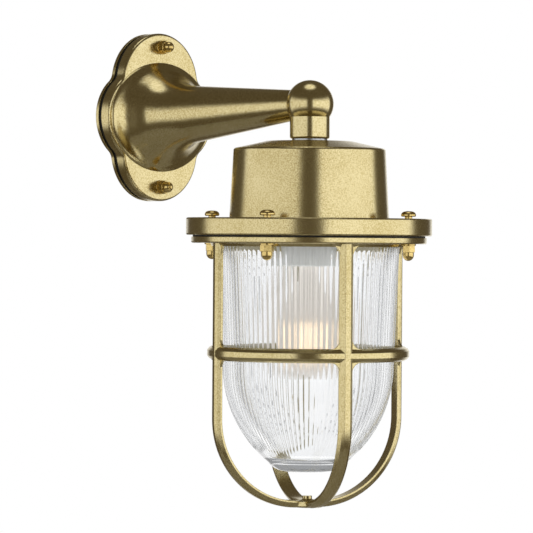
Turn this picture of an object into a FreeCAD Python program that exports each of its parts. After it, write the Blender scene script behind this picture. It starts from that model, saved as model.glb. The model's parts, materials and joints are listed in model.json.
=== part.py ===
import FreeCAD, Part
import math
import os
import re

import Sketcher

"""A brass ship lantern on a wall bracket, built as separate named pieces.

Row frame, in mm: the wall is the plane Y = 0, the arm leaves it along -Y, Z is up, and the
origin is the centre of the wall plate's back face. The lantern's own pieces are drawn about
their common axis with z = 0 on top of the cap's flange, and are then placed at the arm's end.
"""

V = FreeCAD.Vector

SIZES = {
    # Wall plate, gasket and bracket foot: a four-lobed outline
    "lobe_r": 35.2, "lobe_rise": 23.6, "side_r": 31.0, "side_out": 18.4, "valley_r": 9.0,
    "plate_t": 2.5, "wall_gasket_t": 3.0, "foot_t": 7.6, "foot_edge_r": 1.8, "gasket_inset": 1.2,
    "stud_half": 49.0, "wall_screw_half": 31.0, "wall_screw_r": 2.75, "entry_r": 9.0,
    # Bracket arm, ball and neck
    "arm_reach": 160.5, "arm_rise": 6.0, "arm_foot_r": 23.0, "arm_tip_r": 8.9,
    "flare_x": 46.5, "flare_z": 38.0, "flare_len": 42.0, "arm_wall": 4.0,
    "hollow_x": 39.5, "hollow_z": 29.5, "ball_r": 16.0, "cavity_r": 11.2,
    "neck_r": 13.4, "neck_edge_r": 1.4, "head_drop": 70.7,
    # Cap
    "cap_top": 51.6, "boss_h": 0.5, "boss_r": 12.6, "crown_r": 29.0, "shoulder_z": 46.9,
    "shoulder_r": 51.1, "shoulder_edge_r": 1.6, "cap_base_r": 53.6, "cap_wall": 3.8,
    "roof_t": 4.6, "flange_r": 82.5, "flange_t": 11.65, "flange_edge_r": 1.2,
    "pocket_r": 67.0, "pocket_z": 3.6, "post_x": 33.0, "post_r": 4.5, "post_z": 27.5,
    "earth_boss_at": 19.1, "earth_boss_r": 4.6, "earth_boss_z": 39.0,
    # Stem between bracket and cap
    "stem_r": 6.5, "stem_bore_r": 4.4, "stem_top": 66.0, "stem_low": 39.6,
    "neck_washer_t": 1.2, "neck_washer_r": 11.9, "locknut_af": 19.0, "locknut_t": 5.0,
    # Cage
    "cage_turn": 67.5, "ring_r": 79.0, "ring_t": 4.1, "ring_edge_r": 1.2, "collar_r": 65.2,
    "collar_drop": 2.0, "lip_r": 61.8, "lip_recess": 0.75, "bar_r": 68.0, "bar_depth": 4.7,
    "bar_width": 9.6, "ridge_width": 3.6, "bend_r": 60.0, "bend_z": 133.7,
    "band_z": 90.3, "band_h": 9.3, "web_half": 11.0, "web_t": 1.6,
    "hub_r": 9.0, "knob_r": 3.2, "knob_h": 3.0,
    # Well glass and its seals
    "rim_r": 65.5, "rim_t": 6.0, "glass_r": 61.0, "waist_r": 57.5, "waist_z": 97.8,
    "glass_wall": 4.0, "glass_bend_r": 84.0, "toe_r": 26.5, "toe_z": 163.5, "foot_r": 16.5,
    "glass_low": 169.5, "floor_t": 8.0, "seal_t": 2.0, "seal_in_r": 62.2, "flange_gasket_t": 1.2,
    # M5 screws, studs, washers and cap nuts
    "bolt_circle": 71.3, "bolt_r": 2.5, "bolt_len": 23.6, "head_r": 5.0, "head_h": 3.7,
    "head_stand": 1.3, "recess_w": 1.1, "recess_len": 4.8, "recess_d": 1.6,
    "washer_r": 5.0, "washer_t": 1.0, "nut_af": 8.0, "nut_hex_h": 4.4, "nut_h": 10.1,
    "dome_r": 3.75, "nut_depth": 7.6, "stud_len": 19.4, "stud_base_r": 3.6, "stud_base_t": 1.5,
    # Lamp holder, its bridge, terminals and leads
    "bridge_len": 78.0, "bridge_w": 14.0, "bridge_t": 1.6, "small_r": 2.0, "small_head_r": 3.8,
    "small_head_h": 2.6, "small_len": 9.0, "holder_r": 21.5, "holder_top": 25.9,
    "holder_low": 32.0, "holder_bore_r": 15.2, "holder_seat": 1.0, "holder_screw_x": 11.0,
    "well_y": 13.5, "well_half": 4.2, "well_d": 13.0, "clamp_half": 3.4, "clamp_h": 10.0,
    "clamp_screw_r": 1.4, "clamp_head_r": 1.9, "clamp_head_h": 1.5,
    "shell_out_r": 14.6, "shell_crest_r": 13.15, "shell_root_r": 13.7, "shell_low": 27.5,
    "thread_pitch": 3.629, "contact_r": 5.5, "contact_t": 0.7, "contact_pin_r": 1.6,
    "lead_r": 1.1, "lead_gap": 2.45,
    "block_w": 26.0, "block_d": 9.5, "block_h": 11.0, "block_z": 18.5,
    # Lamp
    "lamp_tip": 1.8, "lamp_contact_r": 4.6, "insulator_r": 11.0, "insulator_h": 4.2,
    "lamp_cap_r": 13.0, "lamp_cap_root_r": 12.35, "lamp_cap_wall": 0.5, "lamp_cap_len": 20.6,
    "globe_r": 30.0, "globe_z": 78.0, "globe_neck_r": 13.9, "globe_neck_z": 34.0,
    "globe_wall": 1.0, "mount_r": 5.0, "mount_z": 66.0, "filament_r": 1.0, "filament_ring_r": 8.5,
    "filament_top": 70.0, "filament_low": 98.0,
    # Fits
    "thread_gap": 0.05, "hole_gap": 0.3, "touch_gap": 0.05,
}
ALIASES = sorted(SIZES, key=len, reverse=True)
WORD = re.compile(r"\b(" + "|".join(ALIASES) + r")\b")

# Heights of the stack, measured down from the top of the cap's flange.
GLASS_TOP = "(pocket_z + seal_t)"
GLASS_SEAT = "(pocket_z + seal_t + rim_t)"
RING_TOP = "(flange_t + flange_gasket_t)"
RING_LOW = "(flange_t + flange_gasket_t + ring_t)"
NUT_SEAT = "(flange_t + flange_gasket_t + ring_t + washer_t)"
NECK_LOW = "(cap_top + boss_h + neck_washer_t)"
BALL_Z = "(head_drop + arm_rise)"
ROOF_IN = "(cap_top - roof_t)"
FOOT_BACK = "(plate_t + wall_gasket_t)"
FOOT_FACE = "(plate_t + wall_gasket_t + foot_t)"
HEAD = ("0", "-arm_reach", "-head_drop")
THREAD_TURNS = 5
FLARE_POWER = 3.2

doc = FreeCAD.newDocument("ship_lantern")
sheet = doc.addObject("Spreadsheet::Sheet", "Sizes")
nodes = []


def fill_sheet():
    """Writes every driving size to the sheet as a plain number with its alias."""
    for row, (alias, value) in enumerate(SIZES.items(), start=1):
        sheet.set(f"A{row}", alias)
        sheet.set(f"B{row}", str(value))
        sheet.setAlias(f"B{row}", alias)
    doc.recompute()


def bound(text):
    """Turns a formula in aliases into one the expression engine reads."""
    return WORD.sub(r"Sizes.\1", text)


def value(text):
    """The present value in mm of a formula in aliases."""
    return float(sheet.evalExpression(bound(text)))


def node(thing):
    """Lists a finished sub-part for the final export and returns it."""
    nodes.append(thing)
    return thing


def place(thing, base, turn=None, rotation=None):
    """Binds a sub-part's position, and its turn about Z or a fixed rotation."""
    if rotation is not None:
        thing.Placement = FreeCAD.Placement(V(0, 0, 0), rotation)
    for axis, text in zip("xyz", base):
        if text != "0":
            thing.setExpression(f"Placement.Base.{axis}", bound(text))
    if turn is not None:
        thing.setExpression("Placement.Rotation.Angle", bound(turn))


def new_body(label, base=HEAD, turn=None, rotation=None, listed=True):
    """A PartDesign body with its label and its bound placement."""
    body = doc.addObject("PartDesign::Body", label)
    body.Label = label
    place(body, base, turn, rotation)
    return node(body) if listed else body


def origin_item(body, role):
    """The body's own origin plane or axis with this role."""
    return next(f for f in body.Origin.OriginFeatures if f.Role == role)


def new_sketch(body, plane, offset=None):
    """A sketch flat on one of the body's origin planes, moved along it by a bound offset."""
    sketch = body.newObject("Sketcher::SketchObject", "profile")
    sketch.AttachmentSupport = (origin_item(body, plane), [""])
    sketch.MapMode = "FlatFace"
    if offset:
        sketch.setExpression("AttachmentOffset.Base.z", bound(offset))
    return sketch


def arc_between(a, b, radius):
    """The lesser arc from a to b. A positive radius has its centre on the left of the way."""
    mid = V((a[0] + b[0]) / 2, (a[1] + b[1]) / 2, 0)
    dx, dy = b[0] - a[0], b[1] - a[1]
    chord = math.hypot(dx, dy)
    rise = math.sqrt(max(radius * radius - chord * chord / 4, 0.0))
    side = 1 if radius > 0 else -1
    centre = mid + V(-dy, dx, 0) * (side * rise / chord)
    first, last = (a, b) if radius > 0 else (b, a)
    start = math.atan2(first[1] - centre.y, first[0] - centre.x)
    end = math.atan2(last[1] - centre.y, last[0] - centre.x)
    return Part.ArcOfCircle(Part.Circle(centre, V(0, 0, 1), abs(radius)), start, end)


def pin_point(sketch, geometry, position, x, y):
    """Ties one sketch point to two formulas."""
    for kind, text, axis in (("DistanceX", x, -2), ("DistanceY", y, -1)):
        if text == "0":
            sketch.addConstraint(Sketcher.Constraint("PointOnObject", geometry, position, axis))
            continue
        rule = Sketcher.Constraint(kind, -1, 1, geometry, position, value(text))
        index = sketch.addConstraint(rule)
        sketch.setExpression(f"Constraints[{index}]", bound(text))


def draw(sketch, points):
    """Draws a closed outline. Each point is (x, y), or (x, y, r) where an arc leaves it."""
    base = sketch.GeometryCount
    spots = [(value(p[0]), value(p[1])) for p in points]
    ends = []
    for i, point in enumerate(points):
        a, b = spots[i], spots[(i + 1) % len(points)]
        if len(point) == 3:
            radius = value(point[2])
            sketch.addGeometry(arc_between(a, b, radius), False)
            ends.append((1, 2) if radius > 0 else (2, 1))
        else:
            sketch.addGeometry(Part.LineSegment(V(*a, 0), V(*b, 0)), False)
            ends.append((1, 2))
    for i, point in enumerate(points):
        after = (i + 1) % len(points)
        rule = Sketcher.Constraint("Coincident", base + i, ends[i][1], base + after, ends[after][0])
        sketch.addConstraint(rule)
    for i, point in enumerate(points):
        pin_point(sketch, base + i, ends[i][0], point[0], point[1])
        if len(point) == 3:
            radius = abs(value(point[2]))
            index = sketch.addConstraint(Sketcher.Constraint("Radius", base + i, radius))
            sketch.setExpression(f"Constraints[{index}]", bound(f"abs({point[2]})"))


def draw_circle(sketch, x, y, radius):
    """Draws a circle tied to three formulas."""
    centre = V(value(x), value(y), 0)
    index = sketch.addGeometry(Part.Circle(centre, V(0, 0, 1), value(radius)), False)
    pin_point(sketch, index, 3, x, y)
    rule = sketch.addConstraint(Sketcher.Constraint("Radius", index, value(radius)))
    sketch.setExpression(f"Constraints[{rule}]", bound(radius))


def lathe(body, points, cut=False, axis=None):
    """Turns an outline in the XZ plane about Z, or about a line parallel to it at x = axis."""
    sketch = new_sketch(body, "XZ_Plane")
    draw(sketch, points)
    reference = (sketch, ["V_Axis"])
    if axis is not None:
        line = Part.LineSegment(V(value(axis), 0, 0), V(value(axis), 1, 0))
        index = sketch.addGeometry(line, True)
        pin_point(sketch, index, 1, axis, "0")
        sketch.addConstraint(Sketcher.Constraint("Vertical", index))
        sketch.addConstraint(Sketcher.Constraint("Distance", index, 1.0))
        reference = (sketch, ["Axis0"])
    kind = "PartDesign::Groove" if cut else "PartDesign::Revolution"
    feature = body.newObject(kind, "turned")
    feature.Profile = sketch
    feature.ReferenceAxis = reference
    feature.Angle = 360
    body.Tip = feature
    return feature


def pad(body, sketch, length, cut=False, back=False):
    """Pads or pockets a sketch by a bound length. A pocket goes against the plane's normal."""
    feature = body.newObject("PartDesign::Pocket" if cut else "PartDesign::Pad", "pressed")
    feature.Profile = sketch
    feature.setExpression("Length", bound(length))
    feature.Reversed = back
    body.Tip = feature
    return feature


def round_hole(body, plane, offset, x, y, radius, depth, back=False):
    """Cuts a round hole from a plane, against its normal unless back is set."""
    sketch = new_sketch(body, plane, offset)
    draw_circle(sketch, x, y, radius)
    return pad(body, sketch, depth, cut=True, back=back)


def around(body, features, count):
    """Repeats features evenly about the body's Z axis."""
    pattern = body.newObject("PartDesign::PolarPattern", "around")
    pattern.Originals = features
    pattern.Axis = (origin_item(body, "Z_Axis"), [""])
    pattern.Angle = 360
    pattern.Occurrences = count
    body.Tip = pattern
    return pattern


def ring(label, inner, outer, top, low, **where):
    """A plain flat ring about the body's Z axis, as a node of its own."""
    body = new_body(label, **where)
    lathe(body, [(inner, low), (outer, low), (outer, top), (inner, top)])
    return body


# ---------------------------------------------------------------- wall side


def lobed_outline(sketch, grow):
    """The four-lobed foot outline, grown by a formula: lobes and valleys stay tangent."""
    lobes = []
    for k, (x, y, r) in enumerate(
        (("side_out", "0", "side_r"), ("0", "lobe_rise", "lobe_r"),
         ("-side_out", "0", "side_r"), ("0", "-lobe_rise", "lobe_r"))
    ):
        lobes.append((x, y, f"({r} + {grow})", 90.0 * k))
    valley = f"(valley_r - ({grow}))"
    joins = [valley_centre(lobes[k], lobes[(k + 1) % 4], valley) for k in range(4)]
    for k, (x, y, r, _) in enumerate(lobes):
        centre = V(value(x), value(y), 0)
        start = math.atan2(joins[k - 1].y - centre.y, joins[k - 1].x - centre.x)
        end = math.atan2(joins[k].y - centre.y, joins[k].x - centre.x)
        circle = Part.Circle(centre, V(0, 0, 1), value(r))
        sketch.addGeometry(Part.ArcOfCircle(circle, start, end), False)
    for k in range(4):
        here, there = lobes[k], lobes[(k + 1) % 4]
        start = math.atan2(value(there[1]) - joins[k].y, value(there[0]) - joins[k].x)
        end = math.atan2(value(here[1]) - joins[k].y, value(here[0]) - joins[k].x)
        circle = Part.Circle(joins[k], V(0, 0, 1), value(valley))
        sketch.addGeometry(Part.ArcOfCircle(circle, start, end), False)
    for k in range(4):
        sketch.addConstraint(Sketcher.Constraint("Tangent", k, 2, 4 + k, 2))
        sketch.addConstraint(Sketcher.Constraint("Tangent", 4 + k, 1, (k + 1) % 4, 1))
    for k, (x, y, r, _) in enumerate(lobes):
        pin_point(sketch, k, 3, x, y)
        for index, text in ((k, r), (4 + k, valley)):
            rule = sketch.addConstraint(Sketcher.Constraint("Radius", index, value(text)))
            sketch.setExpression(f"Constraints[{rule}]", bound(text))


def valley_centre(here, there, valley):
    """Centre of the hollow arc that touches two neighbouring lobes from outside."""
    a = V(value(here[0]), value(here[1]), 0)
    b = V(value(there[0]), value(there[1]), 0)
    ra = value(here[2]) + value(valley)
    rb = value(there[2]) + value(valley)
    gap = b - a
    along = (gap.Length ** 2 + ra ** 2 - rb ** 2) / (2 * gap.Length)
    across = math.sqrt(ra ** 2 - along ** 2)
    unit = gap / gap.Length
    outward = V(unit.y, -unit.x, 0)
    return a + unit * along + outward * across


def foot_slab(body, back, thickness, grow):
    """A four-lobed slab from y = -back, thickness towards the lantern."""
    sketch = new_sketch(body, "XZ_Plane", back)
    lobed_outline(sketch, grow)
    return pad(body, sketch, thickness)


def make_wall_plate():
    """Flat brass plate with its cable entry, two wall screw holes and two stud seats."""
    body = new_body("wall_plate", base=("0", "0", "0"))
    foot_slab(body, None, "plate_t", "0")
    round_hole(body, "XZ_Plane", None, "0", "0", "entry_r", "plate_t", back=True)
    for sign in ("", "-"):
        across, up = sign + "wall_screw_half", sign + "stud_half"
        round_hole(body, "XZ_Plane", None, across, "0", "wall_screw_r", "plate_t", back=True)
        seat = "stud_base_r + touch_gap"
        round_hole(body, "XZ_Plane", None, "0", up, seat, "stud_base_t", back=True)
        round_hole(body, "XZ_Plane", None, "0", up, "bolt_r + touch_gap", "plate_t", back=True)


def make_wall_gasket():
    """Rubber gasket between plate and foot, open over the foot's hollow."""
    body = new_body("wall_gasket", base=("0", "0", "0"))
    foot_slab(body, "plate_t", "wall_gasket_t", "-gasket_inset")
    sketch = new_sketch(body, "XZ_Plane", "plate_t")
    oval(sketch, "(hollow_x + 0.5)", "(hollow_z + 0.5)")
    pad(body, sketch, "wall_gasket_t", cut=True, back=True)
    for up in ("stud_half", "-stud_half"):
        hole = "bolt_r + hole_gap"
        round_hole(body, "XZ_Plane", "plate_t", "0", up, hole, "wall_gasket_t", back=True)


def oval(sketch, half_x, half_z):
    """A rounded slot as wide and as high as the two formulas say."""
    straight = f"({half_x} - {half_z})"
    draw(sketch, [(straight, "-" + half_z, f"{half_z} * 1.0001"), (straight, half_z),
                  ("-" + straight, half_z, f"{half_z} * 1.0001"), ("-" + straight, "-" + half_z)])


def upright():
    """Rotation that lays a body's Z along -Y and its X along Z."""
    return FreeCAD.Rotation(V(1, 0, 0), 90) * FreeCAD.Rotation(V(0, 0, 1), 90)


def make_wall_fasteners():
    """Two M5 studs pressed in the plate, with washers and cap nuts on the foot."""
    body = new_body("wall_studs", base=("0", "0", "0"), rotation=upright())
    disc = new_sketch(body, "XY_Plane")
    draw_circle(disc, "stud_half", "0", "stud_base_r")
    base = pad(body, disc, "stud_base_t - touch_gap")
    rod = new_sketch(body, "XY_Plane")
    draw_circle(rod, "stud_half", "0", "bolt_r")
    shank = pad(body, rod, "stud_len")
    around(body, [base, shank], 2)
    washer_set("wall_washers", "stud_half", 2, "1",
               base=("0", "-" + FOOT_FACE, "0"), rotation=upright())
    cap_nut_set("wall_cap_nuts", "stud_half", 2, "1",
                base=("0", f"-({FOOT_FACE} + washer_t)", "0"), rotation=upright())


def washer_set(label, circle, count, sign, **where):
    """Flat M5 washers spaced about Z, growing along sign times Z."""
    body = new_body(label, **where)
    sketch = new_sketch(body, "XY_Plane")
    draw_circle(sketch, circle, "0", "washer_r")
    draw_circle(sketch, circle, "0", "(bolt_r + hole_gap)")
    disc = pad(body, sketch, "washer_t", back=sign == "-1")
    around(body, [disc], count)


def cap_nut_set(label, circle, count, sign, **where):
    """M5 cap nuts spaced about Z: hexagon, dome and blind threaded hole."""
    body = new_body(label, **where)
    down = sign == "-1"
    hexagon = new_sketch(body, "XY_Plane")
    half, point = "nut_af / 2", "nut_af * 0.57735"
    corners = [("-", "1", "0"), ("-", "0.5", "-"), ("+", "0.5", "-"),
               ("+", "1", "0"), ("+", "0.5", "+"), ("-", "0.5", "+")]
    draw(hexagon, [(f"{circle} {side} {point} * {share}", "0" if v == "0" else f"{v}1 * {half}")
                   for side, share, v in corners])
    block = pad(body, hexagon, "nut_hex_h", back=down)
    side, edge = f"{circle} + dome_r", f"{sign} * (nut_h - dome_r)"
    crown = lathe(body, [(circle, f"{sign} * 1"), (side, f"{sign} * 1"),
                         (side, edge, f"{sign} * dome_r"), (circle, f"{sign} * nut_h")], axis=circle)
    hole = new_sketch(body, "XY_Plane")
    draw_circle(hole, circle, "0", "(bolt_r + thread_gap)")
    bore = pad(body, hole, "nut_depth", cut=True, back=not down)
    around(body, [block, crown, bore], count)


# ---------------------------------------------------------------- bracket


def arm_station(along, half_x, half_z, rise):
    """One oval section of the arm, square to Y, at a bound distance from the wall."""
    oval_curve = doc.addObject("Part::Ellipse", "station")
    turned = FreeCAD.Rotation(V(1, 0, 0), 90)
    oval_curve.Placement = FreeCAD.Placement(V(0, 0, 0), turned)
    oval_curve.setExpression("MajorRadius", bound(half_x))
    oval_curve.setExpression("MinorRadius", bound(half_z))
    oval_curve.setExpression("Placement.Base.y", bound(f"-({along})"))
    oval_curve.setExpression("Placement.Base.z", bound(rise))
    return oval_curve


def arm_loft(inset, wide, high, first, last_share):
    """Skin through oval stations: a straight taper plus a flare that dies away at its end.

    Half width at distance s is the taper's radius less the inset, plus the flare's excess
    times (1 - t) to the flare power, where t runs from 0 at the foot to 1 at the flare's end.
    """
    cone = f"(arm_foot_r - {inset})"
    tip = f"(arm_tip_r - {inset})"
    span = f"(arm_reach - {FOOT_FACE})"
    stations = [arm_station(first, wide, high, "0")]
    for share in (0.0, 0.07, 0.16, 0.28, 0.44, 0.62, 0.81, 1.0):
        along = f"({FOOT_FACE} + {share} * flare_len)"
        part = f"({share} * flare_len / {span})"
        radius = f"({cone} + ({tip} - {cone}) * {part})"
        fade = (1 - share) ** FLARE_POWER
        half_x = f"({radius} + ({wide} - {cone}) * {fade:.6f} + 0.001)"
        half_z = f"({radius} + ({high} - {cone}) * {fade:.6f})"
        stations.append(arm_station(along, half_x, half_z, f"arm_rise * {part}"))
    for share in (0.12, 0.25, 0.38, 0.51, 0.64, 0.76, 0.88, 1.0):
        reach = share * last_share
        part = f"((flare_len + {reach} * ({span} - flare_len)) / {span})"
        along = f"({FOOT_FACE} + {span} * {part})"
        radius = f"({cone} + ({tip} - {cone}) * {part})"
        stations.append(arm_station(along, f"({radius} + 0.001)", radius, f"arm_rise * {part}"))
    loft = doc.addObject("Part::Loft", "arm_skin")
    loft.Sections = stations
    loft.Solid = True
    loft.Ruled = False
    return loft


def joined(kind, label, pieces):
    """A fusion of several shapes, or the first less the second."""
    result = doc.addObject(kind, label)
    if kind == "Part::Cut":
        result.Base, result.Tool = pieces
    else:
        result.Shapes = pieces
    return result


def make_bracket():
    """Hollow cast bracket: lobed foot, flared arm, ball and neck in one piece."""
    foot = new_body("foot", base=("0", "0", "0"), listed=False)
    slab = foot_slab(foot, FOOT_BACK, "foot_t", "0")
    doc.recompute()
    face_y = -value(FOOT_FACE)
    edges = [f"Edge{i}" for i, e in enumerate(foot.Shape.Edges, start=1)
             if abs(e.BoundBox.YMin - face_y) < 1e-6 and abs(e.BoundBox.YMax - face_y) < 1e-6]
    soft = foot.newObject("PartDesign::Fillet", "soft_edge")
    soft.Base = (slab, edges)
    soft.setExpression("Radius", "Sizes.foot_edge_r")
    foot.Tip = soft
    for up in ("stud_half", "-stud_half"):
        round_hole(foot, "XZ_Plane", FOOT_BACK, "0", up, "(bolt_r + hole_gap)", "foot_t", back=True)
    arm = arm_loft("0", "flare_x", "flare_z", f"({FOOT_FACE} - 1)", 0.97)
    head = new_body("head", base=HEAD, listed=False)
    top, low = BALL_Z, NECK_LOW
    lathe(head, [("0", low), ("neck_r - neck_edge_r", low, "neck_edge_r"),
                 ("neck_r", f"{low} + neck_edge_r"), ("neck_r", top), ("0", top)])
    ball = doc.addObject("Part::Sphere", "ball")
    ball.setExpression("Radius", "Sizes.ball_r")
    place(ball, ("0", "-arm_reach", "arm_rise"))
    solid = joined("Part::MultiFuse", "bracket_solid", [foot, arm, head, ball])
    hollow = arm_loft("arm_wall", "hollow_x", "hollow_z", f"({FOOT_BACK} - 1)", 0.97)
    cavity = doc.addObject("Part::Sphere", "cavity")
    cavity.setExpression("Radius", "Sizes.cavity_r")
    place(cavity, ("0", "-arm_reach", "arm_rise"))
    bore = doc.addObject("Part::Cylinder", "neck_bore")
    bore.setExpression("Radius", bound("stem_r + thread_gap"))
    bore.setExpression("Height", bound(f"{BALL_Z} - {low} + 1"))
    place(bore, ("0", "-arm_reach", f"{low} - 1 - head_drop"))
    empty = joined("Part::MultiFuse", "bracket_hollow", [hollow, cavity, bore])
    bracket = joined("Part::Cut", "bracket", [solid, empty])
    bracket.Label = "bracket"
    node(bracket)


# ---------------------------------------------------------------- cap and stem


def make_stem():
    """Threaded hollow stem, the washer under the neck and the locknut under the roof."""
    ring("neck_washer", "stem_r + hole_gap", "neck_washer_r", NECK_LOW, "cap_top + boss_h")
    ring("stem_nipple", "stem_bore_r", "stem_r", "stem_top", "stem_low")
    body = new_body("stem_locknut")
    sketch = new_sketch(body, "XY_Plane", ROOF_IN)
    half, point = "locknut_af / 2", "locknut_af * 0.57735"
    corners = [("-", "1", "0"), ("-", "0.5", "-"), ("", "0.5", "-"),
               ("", "1", "0"), ("", "0.5", ""), ("-", "0.5", "")]
    draw(sketch, [(f"{s}{share} * {point}", "0" if v == "0" else f"{v}1 * {half}")
                  for s, share, v in corners])
    draw_circle(sketch, "0", "0", "(stem_r + thread_gap)")
    pad(body, sketch, "locknut_t", back=True)


def make_cap():
    """Cast cap: crowned roof, tapered wall and thick flange with the glass pocket below."""
    body = new_body("cap", turn="cage_turn")
    roof, wall = ROOF_IN, "cap_wall"
    lathe(body, [
        ("stem_r + hole_gap", "cap_top + boss_h"), ("stem_r + hole_gap", roof),
        ("crown_r - 4", roof), (f"shoulder_r - {wall} - 3", f"shoulder_z - {wall} - 0.5"),
        (f"shoulder_r - {wall}", f"shoulder_z - {wall} - 3.5"),
        (f"cap_base_r - {wall}", "-pocket_z"), ("pocket_r", "-pocket_z"),
        ("pocket_r", "-flange_t"), ("flange_r - flange_edge_r", "-flange_t", "flange_edge_r"),
        ("flange_r", "flange_edge_r - flange_t"), ("flange_r", "-flange_edge_r", "flange_edge_r"),
        ("flange_r - flange_edge_r", "0"), ("cap_base_r", "0"),
        ("shoulder_r", "shoulder_z - shoulder_edge_r", "shoulder_edge_r * 1.1"),
        ("shoulder_r - shoulder_edge_r", "shoulder_z"), ("crown_r", "cap_top"),
        ("boss_r + 4", "cap_top"), ("boss_r", "cap_top + boss_h")])
    for x, y, radius, low in (("post_x", "0", "post_r", "post_z"), ("-post_x", "0", "post_r", "post_z"),
                              ("earth_boss_at", "earth_boss_at", "earth_boss_r", "earth_boss_z")):
        sketch = new_sketch(body, "XY_Plane", low)
        draw_circle(sketch, x, y, radius)
        pad(body, sketch, f"shoulder_z - {low} - 0.2")
        tapped = "small_r + thread_gap"
        round_hole(body, "XY_Plane", low, x, y, tapped, "small_len", back=True)
    screw_hole = round_hole(body, "XY_Plane", None, "bolt_circle * 0.70710678",
                            "bolt_circle * 0.70710678", "bolt_r + thread_gap", "flange_t")
    around(body, [screw_hole], 4)


# ---------------------------------------------------------------- lamp holder and wiring


def pan_screw_set(label, spots, top, down, base=HEAD, turn=None, rotation=None):
    """Small M4 pan screws at (x, y) spots, head on one side of z = top and shank on the other."""
    body = new_body(label, base=base, turn=turn, rotation=rotation)
    for x, y in spots:
        head = new_sketch(body, "XY_Plane", top)
        draw_circle(head, x, y, "small_head_r")
        pad(body, head, "small_head_h", back=not down)
        shank = new_sketch(body, "XY_Plane", top)
        draw_circle(shank, x, y, "small_r")
        pad(body, shank, "small_len - 0.4", back=down)


def make_bridge():
    """Steel strap under the two cap posts, and the screws that hold it and the holder."""
    body = new_body("holder_bridge", turn="cage_turn")
    sketch = new_sketch(body, "XY_Plane", "post_z - bridge_t")
    long, wide = "(bridge_len / 2)", "(bridge_w / 2)"
    draw(sketch, [(f"-{long}", f"-{wide}"), (long, f"-{wide}"), (long, wide), (f"-{long}", wide)])
    for x in ("post_x", "-post_x", "holder_screw_x", "-holder_screw_x"):
        draw_circle(sketch, x, "0", "(small_r + hole_gap)")
    pad(body, sketch, "bridge_t")
    pan_screw_set("bridge_screws", [("post_x", "0"), ("-post_x", "0")],
                  "post_z - bridge_t", False, turn="cage_turn")
    pan_screw_set("holder_screws", [("holder_screw_x", "0"), ("-holder_screw_x", "0")],
                  "post_z", True, turn="cage_turn")


def make_holder():
    """Ceramic lamp holder with two terminal wells, its threaded shell and centre contact."""
    body = new_body("holder_body", turn="cage_turn")
    lathe(body, [
        ("0", "-holder_seat"), ("holder_bore_r", "-holder_seat"), ("holder_bore_r", "-holder_low"),
        ("holder_r - 1", "-holder_low", "1.5"), ("holder_r", "1 - holder_low"),
        ("holder_r", "holder_top - 1", "1.5"), ("holder_r - 1", "holder_top"), ("0", "holder_top")])
    for x in ("holder_screw_x", "-holder_screw_x"):
        round_hole(body, "XY_Plane", "holder_top", x, "0", "small_r + thread_gap", "small_len")
    for sign in ("", "-"):
        well = new_sketch(body, "XY_Plane", "holder_top")
        square(well, "0", f"{sign}well_y", "well_half")
        pad(body, well, "well_d", cut=True)
    pin_hole = "contact_pin_r + hole_gap"
    round_hole(body, "XY_Plane", "-holder_seat", "0", "0", pin_hole, "12", back=True)
    clamps = new_body("holder_terminals", turn="cage_turn")
    for sign in ("", "-"):
        sketch = new_sketch(clamps, "XY_Plane", "holder_top - well_d")
        square(sketch, "0", f"{sign}well_y", "clamp_half")
        pad(clamps, sketch, "clamp_h")
        round_hole(clamps, "XY_Plane", "holder_top - well_d + clamp_h", "0",
                   f"{sign}(well_y + 1.5)", "clamp_screw_r + thread_gap", "6")
    screws = new_body("terminal_screws", turn="cage_turn")
    for sign in ("", "-"):
        for radius, height, back in (("clamp_head_r", "clamp_head_h", False),
                                     ("clamp_screw_r", "5.5", True)):
            sketch = new_sketch(screws, "XY_Plane", "holder_top - well_d + clamp_h")
            draw_circle(sketch, "0", f"{sign}(well_y + 1.5)", radius)
            pad(screws, sketch, height, back=back)
    shell = new_body("holder_shell")
    lathe(shell, thread_outline("shell_crest_r", "shell_root_r", "shell_out_r",
                                "-shell_low", "-holder_seat - 2.2"))
    contact = new_body("holder_contact")
    pin, top = "contact_pin_r", "-(holder_seat + touch_gap)"
    lathe(contact, [("0", f"{top} - contact_t"), ("contact_r", f"{top} - contact_t"),
                    ("contact_r", top), (pin, top), (pin, "10"), ("0", "10")])


def square(sketch, x, y, half):
    """A square tied to its centre and half side."""
    draw(sketch, [(f"{x} - {half}", f"{y} - {half}"), (f"{x} + {half}", f"{y} - {half}"),
                  (f"{x} + {half}", f"{y} + {half}"), (f"{x} - {half}", f"{y} + {half}")])


def thread_outline(crest, root, back, low, top):
    """A sleeve outline whose threaded face is a row of rounded rings."""
    points = [(back, low), (back, top), (root, top)]
    for k in range(THREAD_TURNS):
        high = f"({top} - 0.6 - {k} * thread_pitch)"
        points += [(root, high), (crest, f"{high} - thread_pitch * 0.35"),
                   (crest, f"{high} - thread_pitch * 0.5"), (root, f"{high} - thread_pitch * 0.85")]
    points.append((root, low))
    return points


def lead(label, points):
    """A round insulated lead along a bent line through the given points, rounded at its bends."""
    radius, spots = value("lead_r"), [V(*p) for p in points]
    runs = [Part.makeCylinder(radius, (b - a).Length, a, b - a) for a, b in zip(spots, spots[1:])]
    bends = [Part.makeSphere(radius, spot) for spot in spots[1:-1]]
    feature = doc.addObject("Part::Feature", label)
    feature.Label = label
    feature.Shape = runs[0].multiFuse(runs[1:] + bends).removeSplitter()
    feature.Placement = FreeCAD.Placement()
    node(feature)


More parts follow.
